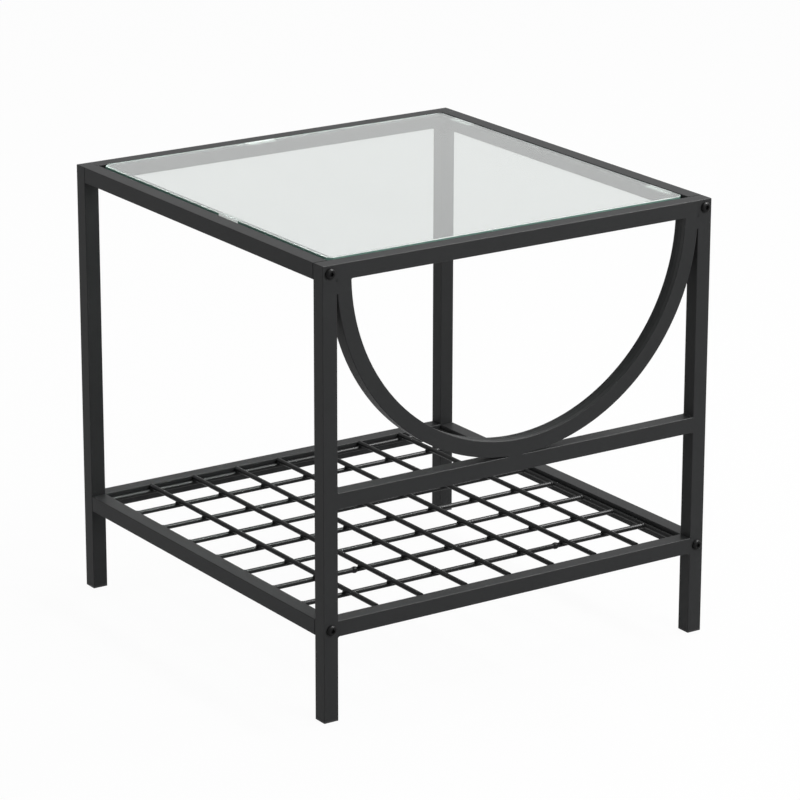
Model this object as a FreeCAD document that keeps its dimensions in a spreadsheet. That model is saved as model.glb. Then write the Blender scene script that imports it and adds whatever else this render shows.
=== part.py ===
"""Square side table: two welded tube frames, four bolted rails, a half ring, a wire shelf and a glass pane.

+Z is up and the origin is on the floor, at the middle of the footprint. The frame with the half ring is the
front, at -Y. Lengths are millimetres.
"""

import FreeCAD
import Part
import Sketcher
import os

doc = FreeCAD.newDocument("side_table")
sheet = doc.addObject("Spreadsheet::Sheet", "Sizes")

SIZES = [
    # Frame
    ("width", 451.0, "outside the legs, along X"),
    ("depth", 458.0, "outside the legs, along Y"),
    ("height", 450.0, "floor to the top of the frame"),
    ("tube", 16.0, "side of the square tube"),
    ("wall", 1.2, "wall of the square tube"),
    ("corner_radius", 0.7, "outer corner of the square tube"),
    ("rail_seam", 0.8, "gap between a bolted rail and a leg"),
    ("weld_clearance", 0.05, "between pieces that a weld joins along a line"),
    # Half ring
    ("ring_rise", 3.5, "ring centre above the underside of the top rail"),
    ("ring_crease", 0.9, "depth of the hollow in the inner face of the bent tube"),
    # Glass and its seat
    ("glass_thickness", 5.0, "thickness of the pane"),
    ("glass_stand", 1.0, "top of the pane above the frame"),
    ("glass_gap", 3.5, "gap between the pane and the top rails"),
    ("glass_corner", 5.0, "clipped corner of the pane, along each side"),
    ("glass_arris", 0.8, "ground edge of the pane"),
    ("ledge_reach", 10.5, "level leg of the steel angle that carries the pane"),
    ("ledge_drop", 15.0, "upright leg of that angle"),
    ("ledge_sheet", 2.0, "thickness of that angle"),
    ("ledge_end_gap", 0.5, "gap at the end of an angle"),
    ("pad_thickness", 0.8, "clear pad under the pane"),
    ("pad_length", 35.0, "clear pad along its rail"),
    ("pad_width", 8.0, "clear pad across its angle"),
    ("pad_corner", 3.0, "rounded corner of a clear pad"),
    # Wire shelf
    ("shelf_height", 101.0, "floor to the top of the shelf rails"),
    ("wire", 5.0, "diameter of the shelf wires"),
    ("wire_stand", 1.1, "top of the long wires above the shelf rails"),
    ("mesh_edge", 3.2, "outer cross wires from the front and rear rails, to their middle"),
    ("wire_end_gap", 0.8, "ends of the long wires from the front and rear rails"),
    # Bolts and the plugs that they screw into
    ("bolt_diameter", 6.0, "thread of the bolts"),
    ("bolt_length", 32.0, "length under the head"),
    ("bolt_head", 10.5, "diameter of the button head"),
    ("bolt_head_height", 3.3, "height of the button head"),
    ("bolt_crown", 2.4, "rounding of the button head"),
    ("socket_across", 4.0, "hexagon socket, across its flats"),
    ("socket_depth", 2.1, "depth of the hexagon socket"),
    ("bolt_clearance", 0.25, "between a bolt and its hole in a leg, all round"),
    ("thread_clearance", 0.1, "between a bolt and its plug, all round"),
    ("plug_length", 22.0, "length of a rail's threaded plug"),
    ("plug_clearance", 0.1, "between a plug and its tube, all round"),
    # Feet
    ("foot_flange", 1.6, "thickness of a foot under its leg"),
    ("foot_stem", 12.0, "height of a foot inside its leg"),
    ("overrun", 2.0, "how far a cut runs past the piece"),
]

SHELF_CELLS = 8
CREASE_FLOOR_SHARE = 0.3
CORNER_TURNS = range(0, 360, 60)

# Pads as laid by hand: how far along its angle each one is from the middle, as a share of half the rail
LEFT_PAD_SHARE = -0.15
REAR_PAD_SHARE = -0.10
RIGHT_FRONT_PAD_SHARE = -0.81
RIGHT_REAR_PAD_SHARE = 0.78

for row, (alias, size, note) in enumerate(SIZES, start=1):
    sheet.set(f"A{row}", alias)
    sheet.set(f"B{row}", str(size))
    sheet.set(f"C{row}", note)
    sheet.setAlias(f"B{row}", alias)
doc.recompute()

# Places that several pieces share, written in the sheet's sizes
INNER_X = "(Sizes.width / 2 - Sizes.tube)"
INNER_Y = "(Sizes.depth / 2 - Sizes.tube)"
LEG_X = "(Sizes.width / 2 - Sizes.tube / 2)"
LEG_Y = "(Sizes.depth / 2 - Sizes.tube / 2)"
BORE = "(Sizes.tube - 2 * Sizes.wall)"
TOP_RAIL_Z = "(Sizes.height - Sizes.tube / 2)"
SHELF_RAIL_Z = "(Sizes.shelf_height - Sizes.tube / 2)"
RING_RADIUS = f"({INNER_X} - Sizes.weld_clearance)"
RING_Z = "(Sizes.height - Sizes.tube + Sizes.ring_rise)"
MID_BAR_Z = f"({RING_Z} - {RING_RADIUS} - Sizes.weld_clearance - Sizes.tube / 2)"
GLASS_Z = "(Sizes.height + Sizes.glass_stand - Sizes.glass_thickness)"
LEDGE_Z = f"({GLASS_Z} - Sizes.pad_thickness)"
LONG_WIRE_Z = "(Sizes.shelf_height + Sizes.wire_stand - Sizes.wire / 2)"
CROSS_WIRE_Z = f"({LONG_WIRE_Z} - Sizes.wire - Sizes.weld_clearance)"

UPRIGHT = FreeCAD.Rotation()
TURNED = FreeCAD.Rotation(FreeCAD.Vector(0, 0, 1), 180)
ALONG_X = FreeCAD.Rotation(FreeCAD.Vector(0, 1, 0), 90)
ALONG_Y = FreeCAD.Rotation(FreeCAD.Vector(1, 0, 0), -90)
FACING_FRONT = FreeCAD.Rotation(FreeCAD.Vector(1, 0, 0), 90)
FACING_REAR = FreeCAD.Rotation(FreeCAD.Vector(1, 0, 0), -90)

# How a sketch numbers the points of a line or circle
START, END, CENTRE = range(1, 4)

parts = []


def value(expression):
    """Work out an expression in the sheet's sizes."""
    return float(sheet.evalExpression(expression))


def keep(piece, label):
    """Name a finished piece and put it on the list of those to write."""
    piece.Label = label
    parts.append(piece)
    return piece


def place(piece, x, y, z, turn=UPRIGHT):
    """Turn a piece and bind its place to three expressions."""
    piece.Placement = FreeCAD.Placement(FreeCAD.Vector(), turn)
    for axis, expression in zip("xyz", (x, y, z)):
        piece.setExpression(f"Placement.Base.{axis}", expression)
    return piece


def sketch_on(body, role):
    """Start a sketch on one of the body's own origin planes."""
    plane = next(item for item in body.Origin.OriginFeatures if item.Role == role)
    sketch = body.newObject("Sketcher::SketchObject", "Sketch")
    sketch.AttachmentSupport = (plane, [""])
    sketch.MapMode = "FlatFace"
    return sketch


def bind(sketch, constraint, expression):
    """Add a constraint to a sketch and bind its size to an expression."""
    number = sketch.addConstraint(constraint)
    sketch.setExpression(f"Constraints[{number}]", expression)


def fix_point(sketch, item, point, x, y):
    """Bind a point of a line or circle to a pair of expressions, counted from item -1, the origin."""
    bind(sketch, Sketcher.Constraint("DistanceX", -1, START, item, point, value(x)), x)
    bind(sketch, Sketcher.Constraint("DistanceY", -1, START, item, point, value(y)), y)


def outline(sketch, corners):
    """Draw a closed polygon whose corners are pairs of expressions."""
    points = [FreeCAD.Vector(value(x), value(y), 0) for x, y in corners]
    first = sketch.GeometryCount
    count = len(points)
    for index, point in enumerate(points):
        sketch.addGeometry(Part.LineSegment(point, points[(index + 1) % count]))
    for index, (x, y) in enumerate(corners):
        following = first + (index + 1) % count
        sketch.addConstraint(Sketcher.Constraint("Coincident", first + index, END, following, START))
        fix_point(sketch, first + index, START, x, y)


def rectangle(sketch, half_x, half_y):
    """Draw a rectangle about the sketch's origin."""
    outline(sketch, [
        (f"-{half_x}", f"-{half_y}"),
        (half_x, f"-{half_y}"),
        (half_x, half_y),
        (f"-{half_x}", half_y),
    ])


def circle(sketch, x, y, diameter):
    """Draw a circle, with its centre and its diameter bound to expressions."""
    centre = FreeCAD.Vector(value(x), value(y), 0)
    number = sketch.addGeometry(Part.Circle(centre, FreeCAD.Vector(0, 0, 1), value(diameter) / 2))
    bind(sketch, Sketcher.Constraint("Diameter", number, value(diameter)), diameter)
    fix_point(sketch, number, CENTRE, x, y)


def pad(body, sketch, length, symmetric=False):
    """Extrude a sketch to a length given as an expression."""
    feature = body.newObject("PartDesign::Pad", "Pad")
    feature.Profile = sketch
    feature.SideType = "Symmetric" if symmetric else "One side"
    feature.setExpression("Length", length)
    doc.recompute()
    return feature


def pocket(body, sketch, length=None, symmetric=False, reverse=False):
    """Cut a sketch out of the body, to a length or right through, and see that it cut something."""
    before = body.Shape.Volume
    feature = body.newObject("PartDesign::Pocket", "Pocket")
    feature.Profile = sketch
    feature.SideType = "Symmetric" if symmetric else "One side"
    feature.Reversed = reverse
    if length is None:
        feature.Type = "ThroughAll"
    else:
        feature.setExpression("Length", length)
    doc.recompute()
    if not body.Shape.Volume < before:
        raise ValueError(f"a pocket of {body.Label} cuts nothing")
    return feature


def fillet(body, base, test, radius):
    """Round the edges of a feature that pass a test."""
    names = [f"Edge{index}" for index, edge in enumerate(base.Shape.Edges, start=1) if test(edge)]
    feature = body.newObject("PartDesign::Fillet", "Fillet")
    feature.Base = (base, names)
    feature.setExpression("Radius", radius)
    doc.recompute()
    return feature


def runs_along_z(edge):
    """Tell whether an edge is straight and parallel to the body's Z axis."""
    ends = [vertex.Point for vertex in edge.Vertexes]
    return ends[0].sub(ends[1]).cross(FreeCAD.Vector(0, 0, 1)).Length < edge.Tolerance


def group(label, pieces):
    """Gather equal pieces into one node."""
    node = doc.addObject("Part::Compound", label)
    node.Links = pieces
    doc.recompute()
    return keep(node, label)


def leg(label, x, y, turn):
    """Make a leg: a square tube with a closed top and two bolt holes, whose local +X side meets the rails."""
    body = doc.addObject("PartDesign::Body", label)
    square = sketch_on(body, "XY_Plane")
    rectangle(square, "Sizes.tube / 2", "Sizes.tube / 2")
    bar = pad(body, square, "Sizes.height - Sizes.foot_flange")
    top = value("Sizes.height - Sizes.foot_flange")
    side = value("Sizes.tube / 2")

    def is_outer(edge):
        """Pick the long edges and the top edges, but not the top edge that the rail joins."""
        middle = edge.CenterOfMass
        at_top = abs(middle.z - top) < edge.Tolerance
        at_rail = abs(middle.x - side) < edge.Tolerance
        return runs_along_z(edge) or (at_top and not at_rail)

    fillet(body, bar, is_outer, "Sizes.corner_radius")
    bore = sketch_on(body, "XY_Plane")
    rectangle(bore, f"{BORE} / 2", f"{BORE} / 2")
    pocket(body, bore, "Sizes.height - Sizes.foot_flange - Sizes.wall", reverse=True)
    holes = sketch_on(body, "XZ_Plane")
    for bolt_z in (TOP_RAIL_Z, SHELF_RAIL_Z):
        circle(holes, "0", f"{bolt_z} - Sizes.foot_flange", "Sizes.bolt_diameter + 2 * Sizes.bolt_clearance")
    pocket(body, holes, symmetric=True)
    return keep(place(body, x, y, "Sizes.foot_flange", turn), label)


def rail(label, length, x, y, z, turn):
    """Make a rail: a square tube, open at both ends."""
    body = doc.addObject("PartDesign::Body", label)
    square = sketch_on(body, "XY_Plane")
    rectangle(square, "Sizes.tube / 2", "Sizes.tube / 2")
    bar = pad(body, square, length, symmetric=True)
    fillet(body, bar, runs_along_z, "Sizes.corner_radius")
    bore = sketch_on(body, "XY_Plane")
    rectangle(bore, f"{BORE} / 2", f"{BORE} / 2")
    pocket(body, bore, symmetric=True)
    return keep(place(body, x, y, z, turn), label)


def half_ring():
    """Bend the half ring: a hollow section turned about Y, cut level under the top rail."""
    body = doc.addObject("PartDesign::Body", "half_ring")
    section = sketch_on(body, "XY_Plane")
    inner = f"({RING_RADIUS} - Sizes.tube)"
    side = "Sizes.tube / 2"
    crease = f"({inner} + Sizes.ring_crease)"
    floor = f"{CREASE_FLOOR_SHARE} * Sizes.tube / 2"
    outline(section, [
        (inner, f"-{side}"),
        (RING_RADIUS, f"-{side}"),
        (RING_RADIUS, side),
        (inner, side),
        (crease, floor),
        (crease, f"-{floor}"),
    ])
    hollow = f"({crease} + Sizes.wall)"
    outline(section, [
        (hollow, f"-({side} - Sizes.wall)"),
        (f"{RING_RADIUS} - Sizes.wall", f"-({side} - Sizes.wall)"),
        (f"{RING_RADIUS} - Sizes.wall", f"{side} - Sizes.wall"),
        (hollow, f"{side} - Sizes.wall"),
    ])
    bend = body.newObject("PartDesign::Revolution", "Bend")
    bend.Profile = section
    bend.ReferenceAxis = (section, ["V_Axis"])
    bend.Angle = 180
    doc.recompute()
    outer_radius = value(RING_RADIUS)
    inner_radius = value(inner)
    half = value(side)

    def is_corner(edge):
        """Pick the four long bent edges of the section."""
        if not isinstance(edge.Curve, Part.Circle):
            return False
        on_side = abs(abs(edge.Curve.Center.y) - half) < edge.Tolerance
        from_faces = [abs(edge.Curve.Radius - radius) for radius in (outer_radius, inner_radius)]
        return on_side and min(from_faces) < edge.Tolerance

    fillet(body, bend, is_corner, "Sizes.corner_radius")
    level = sketch_on(body, "XZ_Plane")
    reach = f"({RING_RADIUS} + Sizes.overrun)"
    outline(level, [
        (f"-{reach}", "-Sizes.ring_rise - Sizes.weld_clearance"),
        (reach, "-Sizes.ring_rise - Sizes.weld_clearance"),
        (reach, "Sizes.overrun"),
        (f"-{reach}", "Sizes.overrun"),
    ])
    pocket(body, level, symmetric=True)
    return keep(place(body, "0", f"-{LEG_Y}", RING_Z), "half_ring")


def ledge(label, length, x, y, turn):
    """Make the steel angle under one side of the pane: local X points inwards, and Y up."""
    body = doc.addObject("PartDesign::Body", label)
    angle = sketch_on(body, "XY_Plane")
    outline(angle, [
        ("0", "0"),
        ("0", "-Sizes.ledge_drop"),
        ("Sizes.ledge_sheet", "-Sizes.ledge_drop"),
        ("Sizes.ledge_sheet", "-Sizes.ledge_sheet"),
        ("Sizes.ledge_reach", "-Sizes.ledge_sheet"),
        ("Sizes.ledge_reach", "0"),
    ])
    pad(body, angle, length, symmetric=True)
    return keep(place(body, x, y, LEDGE_Z, turn), label)


def inward(x, y):
    """Turn a profile so that its X points along (x, y), its Y up and its Z along the rail."""
    across = FreeCAD.Vector(x, y, 0)
    up = FreeCAD.Vector(0, 0, 1)
    return FreeCAD.Rotation(across, up, across.cross(up), "XYZ")


def glass_pane():
    """Cut the pane: clipped corners and a ground edge all round."""
    body = doc.addObject("PartDesign::Body", "glass_pane")
    half_x = f"({INNER_X} - Sizes.glass_gap)"
    half_y = f"({INNER_Y} - Sizes.glass_gap)"
    clip_x = f"({half_x} - Sizes.glass_corner)"
    clip_y = f"({half_y} - Sizes.glass_corner)"
    sheet_outline = sketch_on(body, "XY_Plane")
    outline(sheet_outline, [
        (f"-{clip_x}", f"-{half_y}"),
        (clip_x, f"-{half_y}"),
        (half_x, f"-{clip_y}"),
        (half_x, clip_y),
        (clip_x, half_y),
        (f"-{clip_x}", half_y),
        (f"-{half_x}", clip_y),
        (f"-{half_x}", f"-{clip_y}"),
    ])
    slab = pad(body, sheet_outline, "Sizes.glass_thickness")
    arris = body.newObject("PartDesign::Chamfer", "Arris")
    rim = [f"Edge{index}" for index, edge in enumerate(slab.Shape.Edges, start=1) if not runs_along_z(edge)]
    arris.Base = (slab, rim)
    arris.setExpression("Size", "Sizes.glass_arris")
    doc.recompute()
    return keep(place(body, "0", "0", GLASS_Z), "glass_pane")


def glass_pads():
    """Lay the clear pads on the angles, each with its rounded ends along its rail."""
    seat = "(Sizes.ledge_sheet + (Sizes.ledge_reach - Sizes.ledge_sheet) / 2)"
    pads = []
    places = [
        ("left", LEFT_PAD_SHARE),
        ("rear", REAR_PAD_SHARE),
        ("right", RIGHT_FRONT_PAD_SHARE),
        ("right", RIGHT_REAR_PAD_SHARE),
    ]
    for side, share in places:
        body = doc.addObject("PartDesign::Body", f"{side}_pad")
        strip = sketch_on(body, "XY_Plane")
        rectangle(strip, "Sizes.pad_width / 2", "Sizes.pad_length / 2")
        slab = pad(body, strip, "Sizes.pad_thickness")
        fillet(body, slab, runs_along_z, "Sizes.pad_corner")
        if side == "rear":
            turn = FreeCAD.Rotation(FreeCAD.Vector(0, 0, 1), 90)
            place(body, f"{share} * {INNER_X}", f"{INNER_Y} - {seat}", LEDGE_Z, turn)
        else:
            sign = "-" if side == "left" else ""
            place(body, f"{sign}({INNER_X} - {seat})", f"{share} * {INNER_Y}", LEDGE_Z)
        pads.append(body)
    return group("glass_pads", pads)


def wire(name, length, x, y, z, turn):
    """Make one straight wire, which starts at its place and runs along its turned Z axis."""
    rod = doc.addObject("Part::Cylinder", name)
    rod.setExpression("Radius", "Sizes.wire / 2")
    rod.setExpression("Height", length)
    return place(rod, x, y, z, turn)


def shelf_wires():
    """Lay the long wires on the cross wires, in even cells; the outer ones lie level with the cross wires' ends."""
    long_reach = f"({INNER_X} - Sizes.wire / 2 - Sizes.weld_clearance)"
    long_end = f"({INNER_Y} - Sizes.wire_end_gap)"
    cross_reach = f"({INNER_Y} - Sizes.mesh_edge)"
    cross_end = f"({long_reach} - Sizes.wire / 2 - Sizes.weld_clearance)"
    cross_wires = []
    long_wires = []
    for index in range(SHELF_CELLS + 1):
        share = 2 * index / SHELF_CELLS - 1
        level = CROSS_WIRE_Z if index in (0, SHELF_CELLS) else LONG_WIRE_Z
        cross_place = (f"-{cross_end}", f"{share} * {cross_reach}", CROSS_WIRE_Z)
        long_place = (f"{share} * {long_reach}", f"-{long_end}", level)
        cross_wires.append(wire("cross_wire", f"2 * {cross_end}", *cross_place, ALONG_X))
        long_wires.append(wire("long_wire", f"2 * {long_end}", *long_place, ALONG_Y))
    group("shelf_cross_wires", cross_wires)
    group("shelf_long_wires", long_wires)


def bolt(x, y, z, facing):
    """Make a button-head bolt: its head rises along local Z from its place, and its shank goes down."""
    body = doc.addObject("PartDesign::Body", "bolt")
    button = sketch_on(body, "XY_Plane")
    circle(button, "0", "0", "Sizes.bolt_head")
    head = pad(body, button, "Sizes.bolt_head_height")
    top = value("Sizes.bolt_head_height")
    fillet(body, head, lambda edge: edge.BoundBox.ZMin > top - edge.Tolerance, "Sizes.bolt_crown")
    thread = sketch_on(body, "XY_Plane")
    circle(thread, "0", "0", "Sizes.bolt_diameter")
    shank = pad(body, thread, "Sizes.bolt_length")
    shank.Reversed = True
    socket = sketch_on(body, "XY_Plane")
    radius = "Sizes.socket_across / 2 / cos(30 deg)"
    outline(socket, [(f"{radius} * cos({turn} deg)", f"{radius} * sin({turn} deg)") for turn in CORNER_TURNS])
    socket.setExpression("AttachmentOffset.Base.z", "Sizes.bolt_head_height - Sizes.socket_depth")
    doc.recompute()
    pocket(body, socket, reverse=True)
    return place(body, x, y, z, facing)


def threaded_plug(x, y, z, turn):
    """Make the plug in a rail's end, which stands out of the rail to meet the leg; it runs along local Z."""
    body = doc.addObject("PartDesign::Body", "threaded_plug")
    block = sketch_on(body, "XY_Plane")
    rectangle(block, f"({BORE} / 2 - Sizes.plug_clearance)", f"({BORE} / 2 - Sizes.plug_clearance)")
    circle(block, "0", "0", "Sizes.bolt_diameter + 2 * Sizes.thread_clearance")
    pad(body, block, "Sizes.plug_length")
    return place(body, x, y, z, turn)


def foot(label, x, y):
    """Make a plastic foot: a flange under the leg and a stem inside it."""
    body = doc.addObject("PartDesign::Body", label)
    flange = sketch_on(body, "XY_Plane")
    rectangle(flange, "Sizes.tube / 2", "Sizes.tube / 2")
    plate = pad(body, flange, "Sizes.foot_flange")
    fillet(body, plate, runs_along_z, "Sizes.corner_radius")
    stem = sketch_on(body, "XY_Plane")
    rectangle(stem, f"({BORE} / 2 - Sizes.plug_clearance)", f"({BORE} / 2 - Sizes.plug_clearance)")
    pad(body, stem, "Sizes.foot_flange + Sizes.foot_stem")
    return keep(place(body, x, y, "0"), label)


# Legs and feet
for end, leg_y in (("front", f"-{LEG_Y}"), ("rear", LEG_Y)):
    for side, leg_x, leg_turn in (("left", f"-{LEG_X}", UPRIGHT), ("right", LEG_X, TURNED)):
        leg(f"{end}_{side}_leg", leg_x, leg_y, leg_turn)
        foot(f"{end}_{side}_foot", leg_x, leg_y)

# Rails welded between the legs of a frame, and the ring between them
for end, rail_y in (("front", f"-{LEG_Y}"), ("rear", LEG_Y)):
    rail(f"{end}_top_rail", f"2 * {INNER_X}", "0", rail_y, TOP_RAIL_Z, ALONG_X)
    rail(f"{end}_shelf_rail", f"2 * {INNER_X}", "0", rail_y, SHELF_RAIL_Z, ALONG_X)
rail("front_mid_bar", f"2 * {INNER_X}", "0", f"-{LEG_Y}", MID_BAR_Z, ALONG_X)
half_ring()

# Rails bolted between the two frames, with their plugs and bolts
plugs = []
bolts = []
for level, rail_z in (("top", TOP_RAIL_Z), ("shelf", SHELF_RAIL_Z)):
    for side, rail_x in (("left", f"-{LEG_X}"), ("right", LEG_X)):
        rail(f"{side}_{level}_rail", f"2 * ({INNER_Y} - Sizes.rail_seam)", rail_x, "0", rail_z, ALONG_Y)
        plugs.append(threaded_plug(rail_x, f"-{INNER_Y}", rail_z, ALONG_Y))
        plugs.append(threaded_plug(rail_x, INNER_Y, rail_z, FACING_FRONT))
        bolts.append(bolt(rail_x, "-Sizes.depth / 2", rail_z, FACING_FRONT))
        bolts.append(bolt(rail_x, "Sizes.depth / 2", rail_z, FACING_REAR))
group("rail_end_plugs", plugs)
group("frame_bolts", bolts)

# Angles under the pane: the front and rear ones run right across, and the side ones fit between them
across_length = f"2 * ({INNER_X} - Sizes.ledge_end_gap)"
between_length = f"2 * ({INNER_Y} - Sizes.ledge_reach - Sizes.ledge_end_gap)"
ledge("front_glass_ledge", across_length, "0", f"-{INNER_Y}", inward(0, 1))
ledge("rear_glass_ledge", across_length, "0", INNER_Y, inward(0, -1))
ledge("left_glass_ledge", between_length, f"-{INNER_X}", "0", inward(1, 0))
ledge("right_glass_ledge", between_length, INNER_X, "0", inward(-1, 0))
glass_pads()
glass_pane()

shelf_wires()

doc.recompute()
for item in doc.Objects:
    if "Invalid" in item.State or "Error" in item.State:
        raise ValueError(f"{item.Label} failed: {item.State}")
os.makedirs("parts", exist_ok=True)
for piece in parts:
    if piece.Shape.isNull() or not piece.Shape.isValid():
        raise ValueError(f"{piece.Label} has no valid shape")
for piece in parts:
    piece.Shape.exportStep(f"parts/{piece.Label}.step")
    print(f"{piece.Label}: {len(piece.Shape.Solids)} solids, {piece.Shape.Volume:.0f} mm3")
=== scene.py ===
"""A square side table of black tube with a glass top, a half ring and a wire shelf.

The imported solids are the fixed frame. This file gives each of them its finish, adds the welds that join them,
and sets up a plain studio with the camera at the photograph's angle. Lengths are metres.
"""

import logging
import math
import random
from dataclasses import dataclass
from enum import Enum
from typing import Iterable, Iterator, Mapping, Optional, Sequence, Union

import bmesh
import bpy
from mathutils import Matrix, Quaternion, Vector

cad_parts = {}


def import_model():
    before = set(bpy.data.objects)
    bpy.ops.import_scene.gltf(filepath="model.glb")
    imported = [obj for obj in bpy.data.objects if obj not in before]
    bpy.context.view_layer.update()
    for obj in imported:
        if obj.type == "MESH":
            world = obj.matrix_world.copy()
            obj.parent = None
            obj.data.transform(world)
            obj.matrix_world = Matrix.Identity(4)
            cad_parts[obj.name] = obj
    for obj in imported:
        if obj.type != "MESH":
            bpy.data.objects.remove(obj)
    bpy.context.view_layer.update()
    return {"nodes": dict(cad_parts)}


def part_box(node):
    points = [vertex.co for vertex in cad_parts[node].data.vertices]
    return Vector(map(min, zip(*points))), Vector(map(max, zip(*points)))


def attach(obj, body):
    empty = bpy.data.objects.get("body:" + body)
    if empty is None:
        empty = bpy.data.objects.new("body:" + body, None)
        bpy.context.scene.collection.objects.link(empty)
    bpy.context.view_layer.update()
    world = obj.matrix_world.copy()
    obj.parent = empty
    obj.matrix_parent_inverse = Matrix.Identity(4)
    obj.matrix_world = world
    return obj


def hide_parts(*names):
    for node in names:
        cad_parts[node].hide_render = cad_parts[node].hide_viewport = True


LOG = logging.getLogger("side_table")
MM = 0.001
BLACK = (0.0, 0.0, 0.0)
WHITE = (1.0, 1.0, 1.0)
NOISE_MIDDLE = 0.5
BEND_STEPS = 7
LEAST_BEND = 0.05 * MM
BEAD_SHARP = 80.0

Colour = tuple[float, float, float]
Place = tuple[float, float, float]
Stretch = tuple[float, float, float]
Pair = tuple[float, float]
Feed = Union[int, float, Sequence[float], "Signal"]
SocketKey = Union[int, str]
Ring = Sequence[Vector]


class Body(Enum):
    """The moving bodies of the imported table."""

    FRAME = "frame"
    GLASS = "glass"


class Slot(Enum):
    """The record's material slots."""

    FRAME_PAINT = "frame_paint"
    WIRE_PAINT = "wire_paint"
    CLEAR_GLASS = "clear_glass"


class Face(Enum):
    """The two upright sides of the front frame, by the direction in which they face along Y."""

    OUTER = -1
    INNER = 1


class Signal:
    """A node's output socket, on which Python's operators add Math or Vector Math nodes."""

    def __init__(self, graph: "Graph", socket: bpy.types.NodeSocket) -> None:
        """Keep the graph and the socket."""
        self.graph = graph
        self.socket = socket

    def _join(self, operation: str, left: Feed, right: Feed) -> "Signal":
        """Add the node that joins two operands.

        Args:
            operation: The operation's name, the same for values and vectors.
            left: The first operand.
            right: The second operand.

        Returns:
            The node's result.
        """
        if self.socket.type != "VECTOR":
            return self.graph.value("ShaderNodeMath", {"operation": operation}, {0: left, 1: right})
        sides = [(side,) * 3 if isinstance(side, (int, float)) else side for side in (left, right)]
        return self.graph.value("ShaderNodeVectorMath", {"operation": operation}, dict(enumerate(sides)))

    def __add__(self, other: Feed) -> "Signal":
        """Add a value on the right."""
        return self._join("ADD", self, other)

    def __radd__(self, other: Feed) -> "Signal":
        """Add to a value on the left."""
        return self._join("ADD", other, self)

    def __sub__(self, other: Feed) -> "Signal":
        """Take away a value."""
        return self._join("SUBTRACT", self, other)

    def __rsub__(self, other: Feed) -> "Signal":
        """Take this away from a value."""
        return self._join("SUBTRACT", other, self)

    def __mul__(self, other: Feed) -> "Signal":
        """Multiply by a value on the right."""
        return self._join("MULTIPLY", self, other)

    def __rmul__(self, other: Feed) -> "Signal":
        """Multiply a value on the left."""
        return self._join("MULTIPLY", other, self)

    def larger(self, other: Feed) -> "Signal":
        """Take the larger of this and another value."""
        return self._join("MAXIMUM", self, other)

    def size(self) -> "Signal":
        """Drop the sign."""
        return self.graph.value("ShaderNodeMath", {"operation": "ABSOLUTE"}, {0: self})

    def between(self, low: float, high: float) -> "Signal":
        """Rise smoothly from 0 to 1 while the signal goes from low to high.

        Args:
            low: The value that gives 0.
            high: The value that gives 1.

        Returns:
            The smooth step.
        """
        feeds = {"Value": self, "From Min": low, "From Max": high}
        return self.graph.value("ShaderNodeMapRange", {"interpolation_type": "SMOOTHSTEP"}, feeds)


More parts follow.
